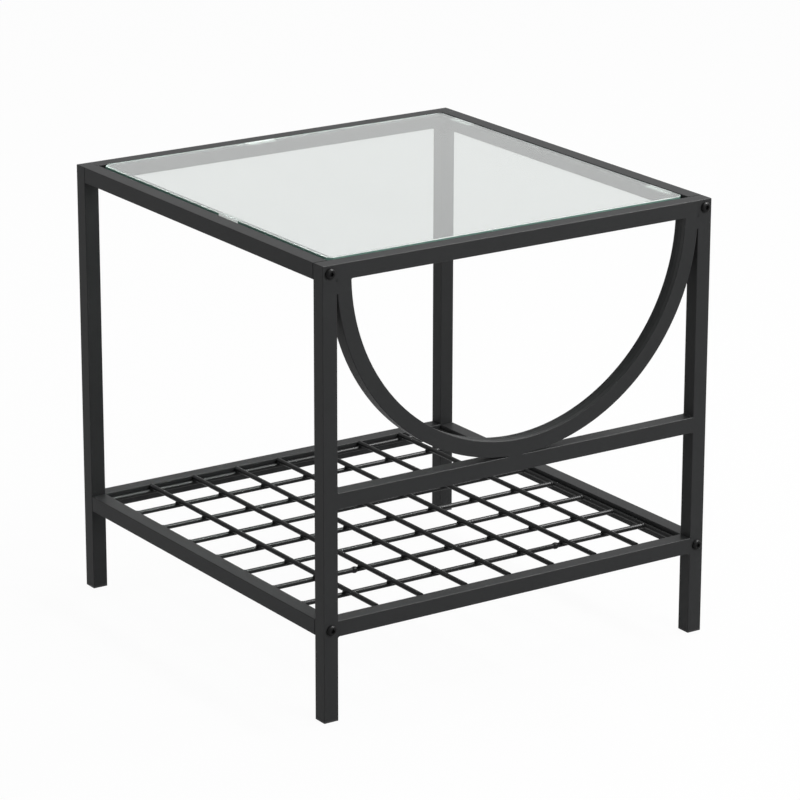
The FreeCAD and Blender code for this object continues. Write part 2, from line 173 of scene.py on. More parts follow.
class Graph:
    """The node tree of a material or of the world, with one method that adds any node."""

    def __init__(self, tree: bpy.types.NodeTree) -> None:
        """Start from an empty tree."""
        self.tree = tree
        tree.nodes.clear()

    @staticmethod
    def _find(sockets: Iterable[bpy.types.NodeSocket], key: SocketKey) -> bpy.types.NodeSocket:
        """Pick a socket.

        Args:
            sockets: The node's inputs or outputs.
            key: The socket's place, or its identifier or name.

        Returns:
            The socket.
        """
        row = list(sockets)
        if isinstance(key, int):
            return row[key]
        return next(socket for socket in row if key in (socket.identifier, socket.name))

    def node(
        self,
        kind: str,
        settings: Optional[Mapping[str, object]] = None,
        feeds: Optional[Mapping[SocketKey, Feed]] = None,
    ) -> bpy.types.Node:
        """Add a node.

        Args:
            kind: The node's type.
            settings: Its properties, which are set first.
            feeds: A value or a signal for each socket named.

        Returns:
            The new node.
        """
        made = self.tree.nodes.new(kind)
        for name, setting in (settings or {}).items():
            setattr(made, name, setting)
        for key, feed in (feeds or {}).items():
            socket = self._find(made.inputs, key)
            if isinstance(feed, Signal):
                self.tree.links.new(feed.socket, socket)
            elif socket.type == "RGBA":
                socket.default_value = (*feed, 1.0)
            else:
                socket.default_value = feed
        return made

    def value(
        self,
        kind: str,
        settings: Optional[Mapping[str, object]] = None,
        feeds: Optional[Mapping[SocketKey, Feed]] = None,
        output: SocketKey = 0,
    ) -> Signal:
        """Add a node and take one of its outputs.

        Args:
            kind: The node's type.
            settings: Its properties.
            feeds: A value or a signal for each socket named.
            output: The output to take.

        Returns:
            That output.
        """
        return Signal(self, self._find(self.node(kind, settings, feeds).outputs, output))

    def place(self) -> Signal:
        """Give the point on the piece, in metres."""
        return self.value("ShaderNodeTexCoord", output="Object")

    def parts(self, where: Signal) -> list[Signal]:
        """Split a point into its X, Y and Z."""
        split = self.node("ShaderNodeSeparateXYZ", None, {"Vector": where})
        return [Signal(self, socket) for socket in split.outputs]

    def noise(self, where: Signal, size: float, detail: float = 2.0) -> Signal:
        """Add a cloudy pattern.

        Args:
            where: The point on the piece.
            size: How large its patches are.
            detail: How many finer layers it has.

        Returns:
            A value about NOISE_MIDDLE.
        """
        feeds = {"Vector": where, "Scale": 1.0 / size, "Detail": detail}
        return self.value("ShaderNodeTexNoise", None, feeds, "Fac")

    def blend(self, share: Feed, low: Feed, high: Feed) -> Signal:
        """Mix two colours.

        Args:
            share: How much of the second colour there is.
            low: The first colour.
            high: The second colour.

        Returns:
            The mixed colour.
        """
        feeds = {"Factor_Float": share, "A_Color": low, "B_Color": high}
        return self.value("ShaderNodeMix", {"data_type": "RGBA"}, feeds, "Result_Color")

    def bump(self, height: Signal, depth: float, strength: float) -> Signal:
        """Turn a height into a bumpy normal.

        Args:
            height: The height, from 0 to 1.
            depth: How deep the full height is.
            strength: How much of it shows.

        Returns:
            The normal.
        """
        return self.value("ShaderNodeBump", None, {"Strength": strength, "Distance": depth, "Height": height})

    def ray(self, kind: str) -> Signal:
        """Be 1 on rays of a kind, such as Camera or Shadow."""
        return self.value("ShaderNodeLightPath", output=f"Is {kind} Ray")

    def seen(self) -> Signal:
        """Be 1 on rays that show the background: straight ones, mirrored ones and ones through glass."""
        return self.ray("Camera").larger(self.ray("Glossy")).larger(self.ray("Transmission"))

    def principled(self, feeds: Mapping[SocketKey, Feed]) -> Signal:
        """Add the shader that the finishes share."""
        return self.value("ShaderNodeBsdfPrincipled", None, feeds)

    def either(self, share: Signal, low: Signal, high: Signal) -> Signal:
        """Mix two shaders, by the share of the second one."""
        return self.value("ShaderNodeMixShader", None, {0: share, 1: low, 2: high})

    def show(self, shader: Signal) -> None:
        """Put a shader on the material's surface."""
        self.node("ShaderNodeOutputMaterial", None, {"Surface": shader})


def new_material(name: str) -> tuple[bpy.types.Material, Graph]:
    """Make an empty material.

    Args:
        name: The material's name.

    Returns:
        The material and its node tree.
    """
    material = bpy.data.materials.new(name)
    material.use_nodes = True
    return material, Graph(material.node_tree)


@dataclass(frozen=True)
class PowderCoat:
    """Black satin powder coat, with the fine orange peel that baking leaves."""

    name: str
    dark: Colour = (0.0225, 0.0230, 0.0235)
    light: Colour = (0.0300, 0.0306, 0.0312)
    roughness: float = 0.43
    gloss: float = 0.066
    cloud_size: float = 55 * MM
    cloud_share: float = 0.6
    cloud_rough: float = 0.10
    fleck_size: float = 0.7 * MM
    fleck_rough: float = 0.12
    peel_size: float = 1.6 * MM
    peel_depth: float = 0.03 * MM
    peel_strength: float = 0.35

    def make(self) -> bpy.types.Material:
        """Build the paint and return it."""
        material, graph = new_material(self.name)
        where = graph.place()
        cloud = graph.noise(where, self.cloud_size, detail=3.0)
        fleck = graph.noise(where, self.fleck_size, detail=1.0)
        peel = graph.noise(where, self.peel_size)
        shade = cloud * self.cloud_share + fleck * (1 - self.cloud_share)
        clouded = self.roughness + (cloud - NOISE_MIDDLE) * self.cloud_rough
        graph.show(graph.principled({
            "Base Color": graph.blend(shade, self.dark, self.light),
            "Roughness": clouded + (fleck - NOISE_MIDDLE) * self.fleck_rough,
            "Specular IOR Level": self.gloss,
            "Normal": graph.bump(peel, self.peel_depth, self.peel_strength),
        }))
        return material


@dataclass(frozen=True)
class FloatGlass:
    """The faces of clear float glass, with faint wipe marks, which let lamplight and soft light through."""

    name: str
    tint: Colour = (0.715, 0.746, 0.732)
    wiped: Colour = (0.705, 0.736, 0.722)
    passed: Colour = (0.83, 0.86, 0.845)
    index: float = 1.58
    clarity: float = 0.93
    wipe_size: float = 60 * MM
    wipe_stretch: Stretch = (1.0, 0.25, 1.0)
    wipe_span: Pair = (0.42, 0.78)

    def make(self) -> bpy.types.Material:
        """Build the glass and return it."""
        material, graph = new_material(self.name)
        where = graph.place() * self.wipe_stretch
        wipe = graph.noise(where, self.wipe_size, detail=4.0).between(*self.wipe_span)
        pane = graph.principled({
            "Base Color": graph.blend(wipe, self.tint, self.wiped),
            "Roughness": 0.0,
            "IOR": self.index,
            "Transmission Weight": self.clarity,
        })
        passing = graph.value("ShaderNodeBsdfTransparent", None, {"Color": self.passed})
        for kind in ("Diffuse", "Shadow"):
            pane = graph.either(graph.ray(kind), pane, passing)
        graph.show(pane)
        return material


@dataclass(frozen=True)
class GroundEdge:
    """The green edge of float glass, ground and polished; where a pad lies under it, the edge is painted the
    pad's milky colour, standing in for the pad seen through the glass, and given a painted glow.
    """

    name: str
    deep: Colour = (0.15, 0.275, 0.23)
    pale: Colour = (0.21, 0.36, 0.305)
    milky: Colour = (0.86, 0.90, 0.88)
    roughness: float = 0.22
    index: float = 1.52
    clarity: float = 0.0
    gloss: float = 0.5
    # The emission strength of the painted glow where a pad lies under the edge.
    painted_glow: float = 0.30
    streak_size: float = 4 * MM
    streak_stretch: Stretch = (1.0, 1.0, 6.0)
    streak_rough: float = 0.15
    rim: float = 205.5 * MM
    rim_blur: float = 2 * MM
    pad_length: float = 35 * MM
    pad_blur: float = 0.6 * MM
    pads: tuple[tuple[int, int, float], ...] = ()

    def make(self) -> bpy.types.Material:
        """Build the edge's finish and return it."""
        material, graph = new_material(self.name)
        where = graph.place()
        streak = graph.noise(where * self.streak_stretch, self.streak_size, detail=3.0)
        colour = graph.blend(streak, self.deep, self.pale)
        painted_glow = BLACK
        half = self.pad_length / 2
        sides = graph.parts(where)
        # Where a pad lies under the edge: the pad's milky colour is painted on, standing in for the pad seen
        # through the glass, and the emission adds a painted glow.
        for across, way, middle in self.pads:
            apart = (sides[1 - across] - middle).size().between(half - self.pad_blur, half + self.pad_blur)
            here = (sides[across] * way).between(self.rim - self.rim_blur, self.rim)
            touched = (1 - apart) * here
            colour = graph.blend(touched, colour, self.milky)
            painted_glow = graph.blend(touched, painted_glow, self.milky)
        graph.show(graph.principled({
            "Base Color": colour,
            "Roughness": self.roughness + (streak - NOISE_MIDDLE) * self.streak_rough,
            "IOR": self.index,
            "Specular IOR Level": self.gloss,
            "Transmission Weight": self.clarity,
            "Emission Color": painted_glow,
            "Emission Strength": self.painted_glow,
        }))
        return material


@dataclass(frozen=True)
class ClearVinyl:
    """Soft clear pad stock that looks milky where it is thick."""

    name: str
    clear: Colour = (0.55, 0.60, 0.58)
    milky: Colour = (0.68, 0.72, 0.70)
    roughness: float = 0.35
    index: float = 1.46
    cloud_size: float = 5 * MM
    dimple_size: float = 0.9 * MM
    dimple_rough: float = 0.15
    dimple_depth: float = 0.05 * MM
    dimple_strength: float = 0.3

    def make(self) -> bpy.types.Material:
        """Build the vinyl and return it."""
        material, graph = new_material(self.name)
        where = graph.place()
        cloud = graph.noise(where, self.cloud_size)
        dimple = graph.noise(where, self.dimple_size, detail=1.0)
        graph.show(graph.principled({
            "Base Color": graph.blend(cloud, self.clear, self.milky),
            "Roughness": self.roughness + (dimple - NOISE_MIDDLE) * self.dimple_rough,
            "IOR": self.index,
            "Normal": graph.bump(dimple, self.dimple_depth, self.dimple_strength),
        }))
        return material


@dataclass(frozen=True)
class BlackOxide:
    """Blackened steel with an oiled gloss and fine turning marks."""

    name: str
    dark: Colour = (0.0045, 0.0045, 0.0048)
    worn: Colour = (0.0120, 0.0118, 0.0115)
    roughness: float = 0.42
    gloss: float = 0.09
    turning_size: float = 0.8 * MM
    turning_stretch: Stretch = (1.0, 6.0, 1.0)
    turning_rough: float = 0.12
    turning_depth: float = 0.02 * MM
    turning_strength: float = 0.3
    rub_size: float = 2.5 * MM
    rub_span: Pair = (0.45, 0.75)
    rub_rough: float = 0.05

    def make(self) -> bpy.types.Material:
        """Build the blackened steel and return it."""
        material, graph = new_material(self.name)
        where = graph.place()
        turning = graph.noise(where * self.turning_stretch, self.turning_size)
        rub = graph.noise(where, self.rub_size, detail=3.0).between(*self.rub_span)
        turned = self.roughness + (turning - NOISE_MIDDLE) * self.turning_rough
        graph.show(graph.principled({
            "Base Color": graph.blend(rub, self.dark, self.worn),
            "Roughness": turned + rub * self.rub_rough,
            "Specular IOR Level": self.gloss,
            "Normal": graph.bump(turning, self.turning_depth, self.turning_strength),
        }))
        return material


@dataclass(frozen=True)
class ZincPlate:
    """Zinc-plated steel, spangled and a little dull."""

    name: str
    bright: Colour = (0.60, 0.61, 0.63)
    dull: Colour = (0.42, 0.43, 0.45)
    roughness: float = 0.34
    spangle_size: float = 3 * MM
    spangle_rough: float = 0.2
    grain_size: float = 0.5 * MM
    grain_depth: float = 0.03 * MM
    grain_strength: float = 0.25

    def make(self) -> bpy.types.Material:
        """Build the zinc and return it."""
        material, graph = new_material(self.name)
        where = graph.place()
        spangle = graph.noise(where, self.spangle_size)
        grain = graph.noise(where, self.grain_size, detail=1.0)
        graph.show(graph.principled({
            "Base Color": graph.blend(spangle, self.dull, self.bright),
            "Metallic": 1.0,
            "Roughness": self.roughness + (spangle - NOISE_MIDDLE) * self.spangle_rough,
            "Normal": graph.bump(grain, self.grain_depth, self.grain_strength),
        }))
        return material


@dataclass(frozen=True)
class MouldedPlastic:
    """Matt black plastic with the fine spark texture of its mould."""

    name: str
    dark: Colour = (0.0110, 0.0110, 0.0115)
    scuffed: Colour = (0.0240, 0.0240, 0.0245)
    roughness: float = 0.58
    gloss: float = 0.4
    spark_size: float = 0.6 * MM
    spark_rough: float = 0.2
    spark_depth: float = 0.06 * MM
    spark_strength: float = 0.5
    scuff_size: float = 6 * MM
    scuff_span: Pair = (0.5, 0.8)

    def make(self) -> bpy.types.Material:
        """Build the plastic and return it."""
        material, graph = new_material(self.name)
        where = graph.place()
        spark = graph.noise(where, self.spark_size)
        scuff = graph.noise(where, self.scuff_size, detail=3.0).between(*self.scuff_span)
        graph.show(graph.principled({
            "Base Color": graph.blend(scuff, self.dark, self.scuffed),
            "Roughness": self.roughness + (spark - NOISE_MIDDLE) * self.spark_rough,
            "Specular IOR Level": self.gloss,
            "Normal": graph.bump(spark, self.spark_depth, self.spark_strength),
        }))
        return material


@dataclass(frozen=True)
class StudioWhite:
    """The white floor: it shows as white, and keeps a faint shadow of the table."""

    name: str
    colour: Colour = (0.88, 0.88, 0.88)
    white_share: float = 0.95

    def make(self) -> bpy.types.Material:
        """Build the floor's finish and return it."""
        material, graph = new_material(self.name)
        paper = graph.principled({"Base Color": self.colour, "Roughness": 1.0, "Specular IOR Level": 0.0})
        white = graph.value("ShaderNodeEmission", None, {"Color": WHITE, "Strength": 1.0})
        graph.show(graph.either(graph.seen() * self.white_share, paper, white))
        return material


class Shape:
    """A mesh that is made by skinning rows of rings."""

    def __init__(self) -> None:
        """Start with nothing."""
        self.mesh = bmesh.new()

    def loft(self, rings: Sequence[Ring], wrap: bool = False) -> None:
        """Skin a row of rings that have the same number of points.

        Args:
            rings: The rings, in order.
            wrap: Whether the last ring joins the first; otherwise both ends are closed.
        """
        rows = [[self.mesh.verts.new(point) for point in ring] for ring in rings]
        pairs = list(zip(rows, rows[1:]))
        if wrap:
            pairs.append((rows[-1], rows[0]))
        else:
            self.mesh.faces.new(rows[0])
            self.mesh.faces.new(rows[-1])
        for one, two in pairs:
            count = len(one)
            for index in range(count):
                after = (index + 1) % count
                self.mesh.faces.new((one[index], one[after], two[after], two[index]))

    def piece(
        self,
        name: str,
        finish: bpy.types.Material,
        sharp: float = 40.0,
        body: Body = Body.FRAME,
    ) -> bpy.types.Object:
        """Turn the mesh into a piece that rides on a body.

        Args:
            name: The piece's name.
            finish: Its material.
            sharp: The angle in degrees above which an edge stays sharp.
            body: The body that carries it.

        Returns:
            The piece.
        """
        bmesh.ops.recalc_face_normals(self.mesh, faces=self.mesh.faces[:])
        data = bpy.data.meshes.new(name)
        self.mesh.to_mesh(data)
        self.mesh.free()
        data.materials.append(finish)
        data.polygons.foreach_set("use_smooth", [True] * len(data.polygons))
        data.set_sharp_from_angle(angle=math.radians(sharp))
        made = bpy.data.objects.new(name, data)
        bpy.context.scene.collection.objects.link(made)
        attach(made, body.value)
        LOG.info("%s: %d faces", name, len(data.polygons))
        return made


def spaced(start: float, stop: float, count: int) -> list[float]:
    """Divide a length evenly.

    Args:
        start: The first value.
        stop: The last value.
        count: How many values there are.

    Returns:
        The values.
    """
    return [start + (stop - start) * index / (count - 1) for index in range(count)]


def turns(count: int) -> list[float]:
    """Give the angles of points that lie evenly round a circle."""
    return [step * math.tau / count for step in range(count)]


def rounded_square(low: Vector, high: Vector, radius: float, grow: float) -> Iterator[Pair]:
    """Follow a tube's section, with Y across the tube and Z up.

    Args:
        low: The tube's lowest corner.
        high: The tube's highest corner.
        radius: The radius of its edges.
        grow: How far outside the tube the line runs, or inside if it is negative.

    Yields:
        The points, once round.
    """
    bend = max(radius + grow, LEAST_BEND)
    inset = bend - grow
    corners = ((high.y, high.z, -1, -1), (low.y, high.z, 1, -1), (low.y, low.z, 1, 1), (high.y, low.z, -1, 1))
    for quarter, (y, z, to_y, to_z) in enumerate(corners):
        for angle in spaced(quarter * math.pi / 2, (quarter + 1) * math.pi / 2, BEND_STEPS):
            yield y + to_y * inset + bend * math.cos(angle), z + to_z * inset + bend * math.sin(angle)


def dress(nodes: Mapping[str, bpy.types.Object], names: Iterable[str], finish: bpy.types.Material) -> None:
    """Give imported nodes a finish.

    Args:
        nodes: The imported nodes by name.
        names: The ones to dress.
        finish: Their material.
    """
    for name in names:
        for slot in nodes[name].material_slots:
            slot.material = finish
        LOG.info("%s: %s", name, finish.name)


@dataclass
class TubeFrame:
    """The welded front and rear frames, the bolted rails, the half ring and the angles under the glass."""

    coat: bpy.types.Material
    tube: float = 16 * MM
    corner: float = 0.7 * MM
    skin: float = 0.012 * MM
    lap: float = 0.35 * MM
    fill_depth: float = 1.1 * MM
    fill_reach: float = 1.35 * MM
    seat_inset: float = 0.5 * MM
    seat_reach: float = 0.9 * MM
    ring_radius: float = 209.45 * MM
    ring_middle: float = 437.5 * MM
    ring_foot: Pair = (-14.9 * MM, 2.1 * MM)
    foot_steps: int = 9
    foot_taper: int = 8
    foot_least: float = 0.25
    ring_head: float = 421.5 * MM
    head_steps: int = 7
    head_least: float = 0.3
    head_lap: float = 0.2 * MM
    head_drop: float = 0.4 * MM
    across_steps: int = 4
    fillets: tuple[tuple[str, int, float], ...] = (
        ("front_mid_bar", 1, 1.5 * MM),
        ("front_mid_bar", -1, 1.5 * MM),
        ("front_shelf_rail", -1, 2.4 * MM),
        ("rear_top_rail", -1, 2.0 * MM),
        ("rear_shelf_rail", -1, 2.2 * MM),
    )
    head_fillet: float = 1.7 * MM
    fillet_sunk: float = 0.3 * MM
    fillet_steps: int = 6
    tack_seed: int = 11
    tack_radius: float = 1.15 * MM
    tack_length: float = 17 * MM
    tack_shares: tuple[float, ...] = (-0.72, 0.0, 0.72)
    tack_steps: int = 15
    tack_points: int = 12
    tack_taper: int = 6
    tack_least: float = 0.04
    tack_spread: Pair = (0.96, 1.04)
    tack_out: float = 0.35 * MM
    tack_drop: float = 0.1 * MM
    ripple: float = 0.10
    ripple_rate: float = 21.0

    LEGS = tuple(f"{end}_{side}_leg" for end in ("front", "rear") for side in ("left", "right"))
    WELDED = ("front_top_rail", "front_mid_bar", "front_shelf_rail", "rear_top_rail", "rear_shelf_rail")
    BOLTED = ("left_top_rail", "right_top_rail", "left_shelf_rail", "right_shelf_rail")
    SIDES = ("front", "rear", "left", "right")

    def dress(self, nodes: Mapping[str, bpy.types.Object]) -> None:
        """Paint every tube, the ring and the angles."""
        ledges = (f"{side}_glass_ledge" for side in self.SIDES)
        dress(nodes, (*self.LEGS, *self.WELDED, *self.BOLTED, *ledges, "half_ring"), self.coat)

    def build(self) -> list[bpy.types.Object]:
        """Make the welds and the rails' seats and return them."""
        welds = [self.rail_welds(), self.rail_seats(), self.ring_welds()]
        return [*welds, self.corner_welds(), self.ledge_tacks()]

    def _rims(self, shape: Shape, rail: str, axis: int, grow: float, reach: float) -> None:
        """Run a rim from a rail's wall to the leg at each of its ends.

        Args:
            shape: The mesh to add to.
            rail: The rail's name.
            axis: The axis that the rail lies along, 0 for X or 1 for Y.
            grow: How far the rim stands outside the tube, or inside if it is negative.
            reach: How far it runs past the rail's end.
        """
        low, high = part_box(rail)
        corners = [Vector((0.0, corner[1 - axis], corner.z)) for corner in (low, high)]
        outer = list(rounded_square(*corners, self.corner, grow))
        inner = list(rounded_square(*corners, self.corner, -self.fill_depth))
        for end, way in ((low[axis], -1), (high[axis], 1)):
            over_leg = end + way * reach
            over_rail = end - way * self.lap
            rings = []
            for along, line in ((over_leg, outer), (over_rail, outer), (over_rail, inner), (over_leg, inner)):
                points = [(along, side, z) if axis == 0 else (side, along, z) for side, z in line]
                rings.append([Vector(point) for point in points])
            shape.loft(rings, wrap=True)

    def rail_welds(self) -> bpy.types.Object:
        """Fill the grooves round the ends of the welded rails, ground flush.

        Returns:
            The piece.
        """
        shape = Shape()
        for rail in self.WELDED:
            self._rims(shape, rail, 0, self.skin, self.corner + self.lap / 4)
        return shape.piece("rail_welds", self.coat)

    def rail_seats(self) -> bpy.types.Object:
        """Seat the bolted rails on the legs, on rims that lie a little inside the tubes.

        Returns:
            The piece.
        """
        shape = Shape()
        for rail in self.BOLTED:
            self._rims(shape, rail, 1, -self.seat_inset, self.seat_reach)
        return shape.piece("rail_seats", self.coat)

    def _bar(self, shape: Shape, rows: Iterable[tuple[Pair, Pair]], face: Face) -> None:
        """Add a strip of filler that is flush with one side of the front frame.

        Args:
            shape: The mesh to add to.
            rows: Pairs of points in X and Z, across the strip, along its length.
            face: The side of the frame.
        """
        low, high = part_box("front_mid_bar")
        side = low.y if face is Face.OUTER else high.y
        near = side + face.value * self.skin
        deep = side - face.value * self.fill_depth
        rings = []
        for (ax, az), (bx, bz) in rows:
            corners = ((ax, near, az), (bx, near, bz), (bx, deep, bz), (ax, deep, az))
            rings.append([Vector(corner) for corner in corners])
        shape.loft(rings)

    def _ring_line(self, x: float) -> float:
        """Give the height of the ring's outer side at x."""
        return self.ring_middle - math.sqrt(self.ring_radius**2 - x**2)

    def _ring_side(self, z: float) -> float:
        """Give the distance from the middle to the ring's outer side at height z."""
        return math.sqrt(self.ring_radius**2 - (self.ring_middle - z) ** 2)

    def ring_welds(self) -> bpy.types.Object:
        """Fill the joints of the ring with the mid bar, the legs and the top rail.

        Returns:
            The piece.
        """
        shape = Shape()
        bar_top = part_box("front_mid_bar")[1].z
        rail_low, rail_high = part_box("front_top_rail")
        leg_face = rail_high.x
        head = rail_low.z
        reach = self.fill_reach
        inner = self._ring_side(head) - self.tube
        start, stop = self.ring_foot
        for face in Face:
            foot = []
            for x in spaced(start, stop, self.foot_steps):
                share = (x - start) / (stop - start) * 2 - 1
                open_by = max(self.foot_least, 1 - abs(share) ** self.foot_taper)
                middle = (bar_top + self._ring_line(x)) / 2
                half = (self._ring_line(x) - bar_top) / 2 + reach * open_by
                foot.append(((x, middle - half), (x, middle + half)))
            self._bar(shape, foot, face)
            for way in (-1, 1):
                upright = []
                for z in spaced(self.ring_head, head + self.head_lap, self.head_steps):
                    open_by = self.head_least if z == self.ring_head else 1.0
                    inside = self._ring_side(z) - reach * open_by
                    upright.append(((way * (leg_face + reach * open_by), z), (way * inside, z)))
                self._bar(shape, upright, face)
                across = []
                for x in spaced(leg_face + reach, inner, self.across_steps):
                    across.append(((way * x, head - self.head_drop), (way * x, head + reach)))
                self._bar(shape, across, face)
        return shape.piece("ring_welds", self.coat)

    def _fillet(self, shape: Shape, rail: str, corner: Pair, rise: int, bend: float) -> None:
        """Add hollow fillets at both ends of a rail.

        Args:
            shape: The mesh to add to.
            rail: The rail's name.
            corner: The X and Z of the corner that is filled, on the right.
            rise: 1 if the fillet lies on top of the rail, and -1 if it lies below.
            bend: The fillet's radius.
        """
        x, z = corner
        sunk = self.fillet_sunk
        line = [(x + sunk, z - rise * sunk), (x + sunk, z + rise * bend)]
        for angle in spaced(0.0, math.pi / 2, self.fillet_steps):
            line.append((x - bend + bend * math.cos(angle), z + rise * bend * (1 - math.sin(angle))))
        line.append((x - bend, z - rise * sunk))
        low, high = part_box(rail)
        ends = (low.y + self.corner, high.y - self.corner)
        for way in (-1, 1):
            shape.loft([[Vector((way * px, y, pz)) for px, pz in line] for y in ends])

    def corner_welds(self) -> bpy.types.Object:
        """Fill the corners where the welded rails meet the legs, and where the ring meets the top rail.

        Returns:
            The piece.
        """
        shape = Shape()
        for rail, rise, bend in self.fillets:
            low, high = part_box(rail)
            self._fillet(shape, rail, (high.x, high.z if rise > 0 else low.z), rise, bend)
        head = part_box("front_top_rail")[0].z
        inner = self._ring_side(head) - self.tube
        self._fillet(shape, "front_top_rail", (inner, head), -1, self.head_fillet)
        return shape.piece("corner_welds", self.coat)

    def ledge_tacks(self) -> bpy.types.Object:
        """Tack each angle to its rail from below.

        Returns:
            The piece.
        """
        shape = Shape()
        chance = random.Random(self.tack_seed)
        for side in self.SIDES:
            low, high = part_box(f"{side}_glass_ledge")
            rail_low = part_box(f"{side}_top_rail")[0]
            runs_in_x = side in ("front", "rear")
            wall = {"front": low.y, "rear": high.y, "left": low.x, "right": high.x}[side]
            out = 1 if side in ("rear", "right") else -1
            half = (high.x - low.x if runs_in_x else high.y - low.y) / 2
            for share in self.tack_shares:
                rings = []
                for along in spaced(-1.0, 1.0, self.tack_steps):
                    wave = 1 + self.ripple * math.cos(along * self.ripple_rate)
                    swell = math.sqrt(max(self.tack_least, 1 - along**self.tack_taper)) * wave
                    radius = self.tack_radius * swell * chance.uniform(*self.tack_spread)
                    run = half * share + along * self.tack_length / 2
                    ring = []
                    for angle in turns(self.tack_points):
                        across = wall + out * (self.tack_out + radius * math.cos(angle))
                        height = rail_low.z - self.tack_drop + radius * math.sin(angle)
                        ring.append(Vector((run, across, height) if runs_in_x else (across, run, height)))
                    rings.append(ring)
                shape.loft(rings)
        return shape.piece("ledge_tacks", self.coat, BEAD_SHARP)


@dataclass
class GlassTop:
    """The loose pane and the clear pads that it lies on."""

    glass: bpy.types.Material
    edge: bpy.types.Material
    bevel: bpy.types.Material
    vinyl: bpy.types.Material
    clip: float = 5 * MM
    arris: float = 0.8 * MM
    seat: float = 0.05 * MM
    sharp: float = 10.0
    edge_rise: float = 0.1
    face_rise: float = 0.9

    # For each pad: the axis across its rail, the side on that axis, and the pad's middle along the rail
    PADS = ((0, -1, -31.95 * MM), (1, 1, -20.95 * MM), (0, 1, -172.53 * MM), (0, 1, 166.14 * MM))

    def dress(self, nodes: Mapping[str, bpy.types.Object]) -> None:
        """Give the pads their finish."""
        dress(nodes, ("glass_pads",), self.vinyl)

    def build(self) -> list[bpy.types.Object]:
        """Make the pane and return it."""
        return [self.pane()]

    def _outline(self, inset: float, z: float) -> list[Vector]:
        """Follow the pane's rim.

        Args:
            inset: How far inside the rim the line runs.
            z: Its height.

        Returns:
            The eight corners, once round.
        """
        low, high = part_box("glass_pane")
        x = (high.x - low.x) / 2 - inset
        y = (high.y - low.y) / 2 - inset
        clip = self.clip - inset * (2 - math.sqrt(2))
        corners = []
        for to_x, to_y, x_first in ((1, 1, False), (-1, 1, True), (-1, -1, False), (1, -1, True)):
            pair = [Vector((to_x * x, to_y * (y - clip), z)), Vector((to_x * (x - clip), to_y * y, z))]
            corners.extend(reversed(pair) if x_first else pair)
        return corners

    def pane(self) -> bpy.types.Object:
        """Make the pane, with clear faces, a ground edge and pale bevels, a hair above the pads.

        Returns:
            The piece.
        """
        low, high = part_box("glass_pane")
        shape = Shape()
        shape.loft([
            self._outline(self.arris, low.z + self.seat),
            self._outline(0.0, low.z + self.arris),
            self._outline(0.0, high.z - self.arris),
            self._outline(self.arris, high.z),
        ])
        made = shape.piece("pane_glass", self.glass, self.sharp, Body.GLASS)
        made.data.materials.append(self.edge)
        made.data.materials.append(self.bevel)
        for face in made.data.polygons:
            rise = abs(face.normal.z)
            face.material_index = int(rise < self.face_rise) + int(self.edge_rise < rise < self.face_rise)
        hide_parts("glass_pane")
        return made


